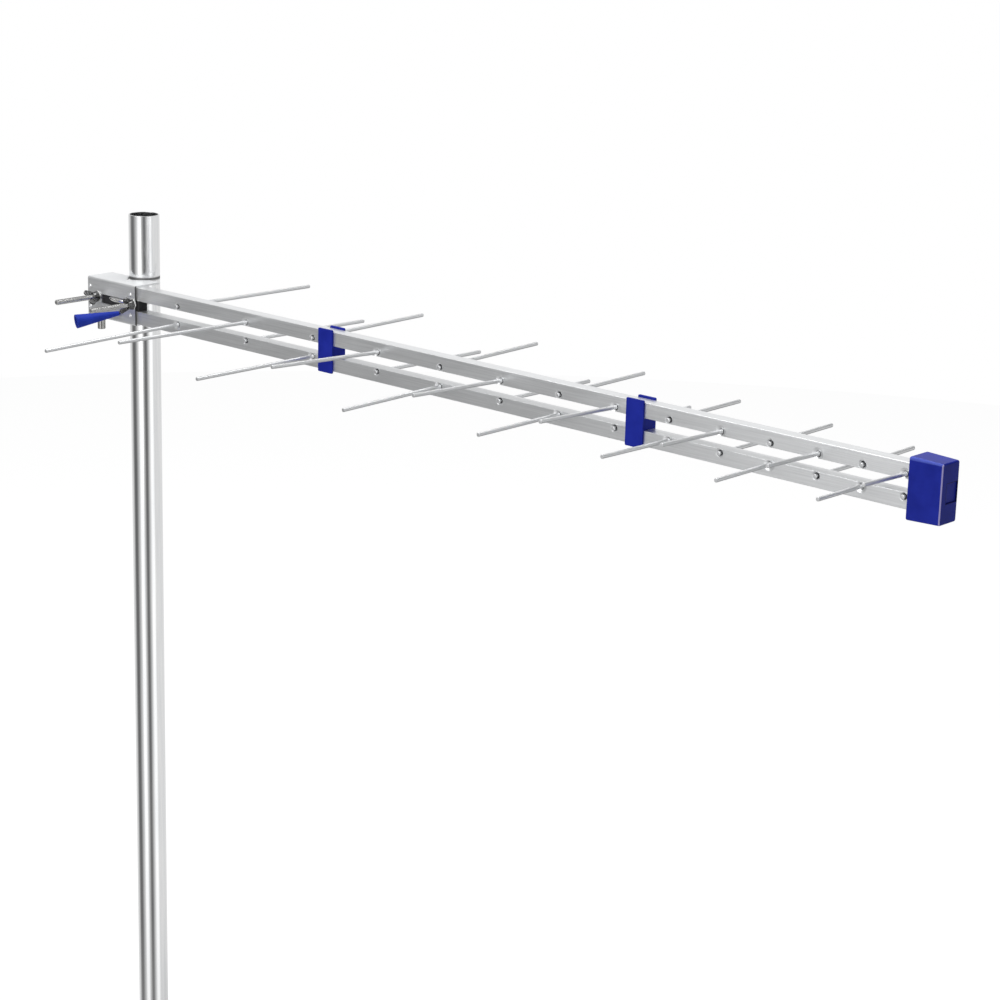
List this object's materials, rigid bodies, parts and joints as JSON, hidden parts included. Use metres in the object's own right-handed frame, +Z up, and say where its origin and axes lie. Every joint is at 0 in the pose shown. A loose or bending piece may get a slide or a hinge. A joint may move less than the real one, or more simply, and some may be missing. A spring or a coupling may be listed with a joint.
{
  "type": "tv antenna",
  "caption": "Log-periodic television antenna with twin booms and rod dipoles, clamped by a U-bolt to a round mast.",
  "frame": {"origin": "centre of the mast's foot", "axes": "+Z up the mast, +X along the booms to the front cap, +Y away from the clamp's wing nuts"},
  "size_m": [1.1603, 0.381, 0.9967],
  "materials": {
    "mast_steel": "bright zinc-plated steel tube",
    "boom_aluminium": "extruded, fine lengthwise lines",
    "rod_aluminium": "drawn rod, satin",
    "bracket_aluminium": "rolled sheet, satin",
    "rivet_aluminium": "bright",
    "bolt_steel": "zinc-plated, glossy",
    "connector_nickel": "nickel-plated",
    "insulator_plastic": "natural white",
    "blue_plastic": "moulded, satin gloss",
    "blue_rubber": "smooth",
    "black_plastic": "moulded",
    "cable_jacket": "smooth"
  },
  "bodies": {
    "mast": {"mast_tube": "mast_steel"},
    "antenna": {"lower_boom": "boom_aluminium", "upper_boom": "boom_aluminium", "dipole_01_near_rod": "rod_aluminium", "dipole_01_far_rod": "rod_aluminium", "dipole_02_near_rod": "rod_aluminium", "dipole_02_far_rod": "rod_aluminium", "dipole_03_near_rod": "rod_aluminium", "dipole_03_far_rod": "rod_aluminium", "dipole_04_near_rod": "rod_aluminium", "dipole_04_far_rod": "rod_aluminium", "dipole_05_near_rod": "rod_aluminium", "dipole_05_far_rod": "rod_aluminium", "dipole_06_near_rod": "rod_aluminium", "dipole_06_far_rod": "rod_aluminium", "dipole_07_near_rod": "rod_aluminium", "dipole_07_far_rod": "rod_aluminium", "dipole_08_near_rod": "rod_aluminium", "dipole_08_far_rod": "rod_aluminium", "dipole_09_near_rod": "rod_aluminium", "dipole_09_far_rod": "rod_aluminium", "dipole_10_near_rod": "rod_aluminium", "dipole_10_far_rod": "rod_aluminium", "dipole_11_near_rod": "rod_aluminium", "dipole_11_far_rod": "rod_aluminium", "dipole_12_near_rod": "rod_aluminium", "dipole_12_far_rod": "rod_aluminium", "dipole_13_near_rod": "rod_aluminium", "dipole_13_far_rod": "rod_aluminium", "dipole_14_near_rod": "rod_aluminium", "dipole_14_far_rod": "rod_aluminium", "spacer_rear": "blue_plastic", "spacer_front": "blue_plastic", "front_cap": "blue_plastic", "clamp_bracket": "bracket_aluminium", "bracket_rivets": "rivet_aluminium", "clamp_block": "black_plastic", "washer_left": "bolt_steel", "washer_right": "bolt_steel", "connector_body": "connector_nickel", "connector_insulator": "insulator_plastic", "connector_boot": "blue_rubber", "feed_coax": "cable_jacket", "feed_lug": "connector_nickel", "feed_screw": "bolt_steel"},
    "u_bolt": {"u_bolt": "bolt_steel"},
    "wing_nut_left": {"wing_nut_left": "bolt_steel"},
    "wing_nut_right": {"wing_nut_right": "bolt_steel"}
  },
  "joints": [
    {"name": "aim_swivel", "type": "hinge", "parent": "mast", "child": "antenna", "pos_m": [0, 0, 0.901], "axis": [0, 0, 1], "continuous": true},
    {"name": "wing_nut_left_turn", "type": "hinge", "parent": "antenna", "child": "wing_nut_left", "pos_m": [-0.031, -0.0452, 0.9027], "axis": [0, -1, 0], "range_deg": [0, 1440]},
    {"name": "wing_nut_right_turn", "type": "hinge", "parent": "antenna", "child": "wing_nut_right", "pos_m": [0.031, -0.0452, 0.9027], "axis": [0, -1, 0], "range_deg": [0, 1440]},
    {"name": "u_bolt_slide", "type": "slide", "parent": "antenna", "child": "u_bolt", "axis": [0, 1, 0], "range_m": [0, 0.004]}
  ],
  "couplings": [
    {"joint": "wing_nut_right_turn", "follows": "wing_nut_left_turn", "ratio": 1},
    {"joint": "u_bolt_slide", "follows": "wing_nut_left_turn", "m_per_rad": 0.00015915}
  ]
}
